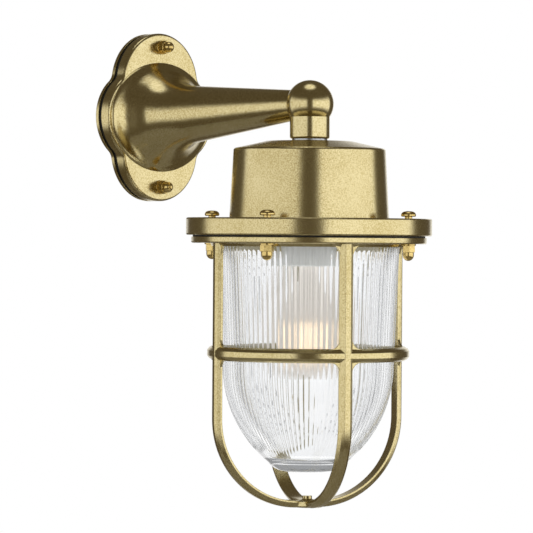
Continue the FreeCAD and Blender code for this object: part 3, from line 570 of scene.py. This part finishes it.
def arc_through(a: tuple, b: tuple, radius: float, steps: int) -> np.ndarray:
    """Points on the lesser arc from a to b, bulging to the right of the way.

    Args:
        a: Start (r, z).
        b: End (r, z).
        radius: The arc's radius.
        steps: Number of points, ends included.

    Returns:
        An array of (r, z) rows.
    """
    start, end = np.array(a), np.array(b)
    middle, way = (start + end) / 2, end - start
    chord = float(np.hypot(*way))
    rise = math.sqrt(max(radius * radius - chord * chord / 4, 0.0))
    centre = middle + np.array([-way[1], way[0]]) / chord * rise
    first = math.atan2(*(start - centre)[::-1])
    last = math.atan2(*(end - centre)[::-1])
    sweep = np.linspace(first, last, steps)
    return centre + radius * np.stack([np.cos(sweep), np.sin(sweep)], axis=-1)


@dataclass
class WellGlass:
    """The ribbed well glass, in mm below the top of its rim."""

    rim_r: float = 65.4
    rim_t: float = 6.0
    top_r: float = 60.9
    waist_r: float = 57.4
    waist_z: float = 92.2
    bend_r: float = 84.0
    toe_r: float = 26.4
    toe_z: float = 157.9
    foot_r: float = 16.4
    foot_bend: float = 14.0
    low_z: float = 163.8
    wall: float = 4.0
    floor: float = 8.0
    toe_thick: float = 2.5
    edge: float = 0.5
    fade_span: float = 6.0
    flutes: int = 96
    flute_depth: float = 0.55
    flute_end: float = 150.0
    steps: int = 8

    def profile(self) -> tuple[np.ndarray, np.ndarray]:
        """The closed outline from the foot up the outside and down the inside.

        Returns:
            Rows of (r, z) in mm, and the flute depth at each row: full on the outside
            below the rim, fading to nothing at flute_end.
        """
        waist, toe = (self.waist_r, -self.waist_z), (self.toe_r, -self.toe_z)
        inner_waist = (self.waist_r - self.wall, -self.waist_z)
        inner_toe = (self.toe_r - self.toe_thick, self.toe_thick - self.toe_z)
        under, bore = -self.rim_t, self.top_r - self.wall
        foot = arc_through((self.foot_r, -self.low_z), toe, self.foot_bend, 7)
        bend = arc_through(toe, waist, self.bend_r, 24)
        side = np.linspace(waist, (self.top_r, under - 4.0), 8)[1:]
        rim = np.array([(self.top_r + 0.5, under - 1.2), (self.top_r + 1.6, under),
                        (self.rim_r - self.edge, under), (self.rim_r, under + self.edge),
                        (self.rim_r, -self.edge), (self.rim_r - self.edge, -0.05),
                        (bore + self.edge, -0.05), (bore, -self.edge)])
        inner_side = np.linspace((bore, -8.0), inner_waist, 6)
        inner = arc_through(inner_toe, inner_waist, self.bend_r - self.wall, 16)
        floor_z = self.floor - self.low_z
        floor = np.array([(self.foot_r - 2.0, floor_z), (6.0, floor_z)])
        start = np.array([(8.0, -self.low_z)])
        outer = np.vstack([start, foot, bend[1:], side])
        rows = np.vstack([outer, rim, inner_side, inner[::-1][1:], floor])
        fade = np.clip((rows[:, 1] + self.flute_end) / self.fade_span, 0.0, 1.0)
        depth = np.where(np.arange(len(rows)) < len(outer), fade * self.flute_depth, 0.0)
        depth[len(outer) - 1] = 0.0
        return rows, depth

    def build(self, looks: Looks) -> None:
        """Makes the glass and puts it in place of the smooth CAD glass.

        Args:
            looks: The finishes.

        The radius at angle t is r - depth * (0.5 - 0.5 cos(flutes * t)) ** 0.7, so each
        flute is a round-bottomed groove between two crests that lie on the CAD surface.
        """
        rows, depth = self.profile()
        count = self.flutes * self.steps
        phase = np.cos(2.0 * math.pi * np.arange(count) / self.steps)
        groove = (0.5 - 0.5 * phase) ** 0.7
        rings = (rows[:, :1] - depth[:, None] * groove[None, :]) * MM
        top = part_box("well_glass")[1][2]
        thing = lathe_mesh("ribbed_well_glass", rings, rows[:, 1] * MM + top, axis_of("well_glass"))
        looks.dress(thing, Slot.CLEAR_GLASS)
        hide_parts("well_glass")
        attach(thing, "cage")
        LOG.info("ribbed_well_glass: %d points", len(thing.data.vertices))


@dataclass(frozen=True)
class Studio:
    """Camera, floor and light. Angles are in degrees, the lens in mm, lengths in metres.

    The pairs are the limits of soft steps: those of middle_gap, side_gap and back_panel are
    cosines from the camera's side, and the others are heights of a unit direction.
    """

    azimuth: float = -45.0
    distance: float = 2.28
    eye_z: float = -0.0853
    lens: float = 229.6
    shift_x: float = -0.0797
    shift_y: float = -0.0497
    roll: float = 0.4
    floor_r: float = 0.7
    floor_drop: float = 0.35
    floor_lift: float = 0.6
    box_strength: float = 1.3
    left_share: float = 0.78
    gap: tuple = (0.12, 0.10, 0.07)
    inside_share: float = 0.85
    middle_gap: tuple = (0.955, 0.985)
    side_gap: tuple = (-0.46, -0.30)
    back_panel: tuple = (-0.97, -0.88)
    box_foot: tuple = (-0.45, -0.18)
    box_head: tuple = (0.15, 0.45)
    top_panel: tuple = (0.93, 0.98)
    low_panel: tuple = (-0.97, -0.88)

    def camera(self, axis: tuple) -> None:
        """Sets the camera at the picture's angle, with the lens shifted to its framing.

        Args:
            axis: X and Y of the lantern's upright axis.
        """
        data = bpy.data.cameras.new("camera")
        data.sensor_width = 36.0
        data.lens = self.lens
        data.shift_x, data.shift_y = self.shift_x, self.shift_y
        data.clip_end = 50.0
        thing = bpy.data.objects.new("camera", data)
        turn = math.radians(self.azimuth)
        toward = Vector((-math.sin(turn), math.cos(turn), 0.0))
        level = Euler((math.radians(90.0), 0.0, turn)).to_quaternion()
        roll = Quaternion((0.0, 0.0, 1.0), math.radians(self.roll))
        thing.location = Vector((axis[0], axis[1], self.eye_z)) - toward * self.distance
        thing.rotation_euler = (level @ roll).to_euler()
        bpy.context.scene.collection.objects.link(thing)
        bpy.context.scene.camera = thing

    def floor(self) -> None:
        """Adds a pale round floor well below the lantern, lifted in tone where it is seen."""
        angle = np.linspace(0.0, 2.0 * math.pi, 128, endpoint=False)
        radii = np.array([0.3, 0.7, 1.0]) * self.floor_r
        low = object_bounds()[0][2] - self.floor_drop
        rings = np.stack([np.outer(radii, np.cos(angle)), np.outer(radii, np.sin(angle)) - 0.12,
                          np.full((3, 128), low)], axis=-1).reshape(-1, 3)
        index = np.arange(384).reshape(3, 128)
        after = np.roll(index, -1, axis=1)
        corners = [index[:-1], index[1:], after[1:], after[:-1]]
        quads = np.stack(corners, axis=-1).reshape(-1, 4)
        mesh = bpy.data.meshes.new("floor")
        mesh.from_pydata(rings.tolist(), [], quads.tolist() + [index[0].tolist()])
        thing = bpy.data.objects.new("floor", mesh)
        bpy.context.scene.collection.objects.link(thing)
        material, graph = new_material("pale_floor")
        colour = graph.tint(graph.noise(3.0), (0.80, 0.80, 0.79), (0.84, 0.84, 0.83))
        path = graph.tree.nodes.new("ShaderNodeLightPath")
        seen = graph.either(path.outputs["Is Camera Ray"], path.outputs["Is Transmission Ray"])
        lift = graph.product(seen, self.floor_lift)
        shader = graph.add("ShaderNodeBsdfPrincipled", Base_Color=colour, Roughness=0.85,
                           Emission_Color=colour, Emission_Strength=lift)
        graph.surface(shader.outputs[0])
        mesh.materials.append(material)
        thing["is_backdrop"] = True

    def light(self) -> None:
        """Lights the set: two broad softboxes beside the camera, with dim warm gaps between.

        With c the cosine of a direction's angle from the camera's side, seen from above,
        light is strong where c is between the side gap and the middle gap and the height is
        between box_foot and box_head. A panel behind, one above and one below complete it.
        """
        world = bpy.data.worlds.new("studio")
        bpy.context.scene.world = world
        world.use_nodes = True
        graph = Graph(world.node_tree)
        place = graph.tree.nodes.new("ShaderNodeTexCoord")
        split = graph.tree.nodes.new("ShaderNodeSeparateXYZ")
        graph.feed(split.inputs[0], place.outputs["Generated"])
        x, y, z = split.outputs
        flat = graph.math("SQRT", graph.blend(x, x, y, y))
        turn = math.radians(self.azimuth)
        aim = graph.blend(x, math.sin(turn), y, -math.cos(turn))
        facing = graph.math("DIVIDE", aim, graph.math("MAXIMUM", flat, 0.02))
        across = graph.blend(x, math.cos(turn), y, math.sin(turn))
        middle = graph.ramp(facing, *self.middle_gap, 1.0, 0.0)
        side = graph.ramp(facing, *self.side_gap)
        back = graph.ramp(facing, *self.back_panel, 0.8, 0.0)
        wide = graph.either(graph.product(middle, side), back)
        high = graph.product(graph.ramp(z, *self.box_foot), graph.ramp(z, *self.box_head, 1.0, 0.0))
        uneven = graph.product(high, graph.ramp(across, -0.3, 0.1, self.left_share, 1.0))
        top = graph.ramp(z, *self.top_panel)
        below = graph.ramp(z, *self.low_panel, 0.8, 0.0)
        panel = graph.either(graph.product(wide, uneven), top, below)
        bright = (self.box_strength,) * 3
        power = graph.tint(panel, self.gap, bright)
        path = graph.tree.nodes.new("ShaderNodeLightPath")
        passed = graph.math("GREATER_THAN", path.outputs["Transmission Depth"], 0.5)
        inside = graph.product(passed, self.inside_share)
        seen = graph.either(path.outputs["Is Camera Ray"], path.outputs["Is Transmission Ray"],
                            inside)
        mix = graph.tree.nodes.new("ShaderNodeMix")
        mix.data_type = "RGBA"
        graph.feed(mix.inputs[0], seen)
        graph.feed(mix.inputs[6], power)
        graph.feed(mix.inputs[7], (1.0, 1.0, 1.0, 1.0))
        glow = graph.add("ShaderNodeBackground", Color=mix.outputs[2], Strength=1.0)
        out = graph.tree.nodes.new("ShaderNodeOutputWorld")
        graph.tree.links.new(glow.outputs[0], out.inputs["Surface"])
        bpy.context.scene.view_settings.view_transform = "Standard"

    def build(self) -> None:
        """Sets up the whole studio."""
        self.camera(axis_of("cap"))
        self.floor()
        self.light()


def main() -> None:
    """Builds the looks and the studio around the frame."""
    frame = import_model()
    looks = Looks()
    looks.dress_frame(frame)
    WellGlass().build(looks)
    Studio().build()


if __name__ == "__main__":
    main()
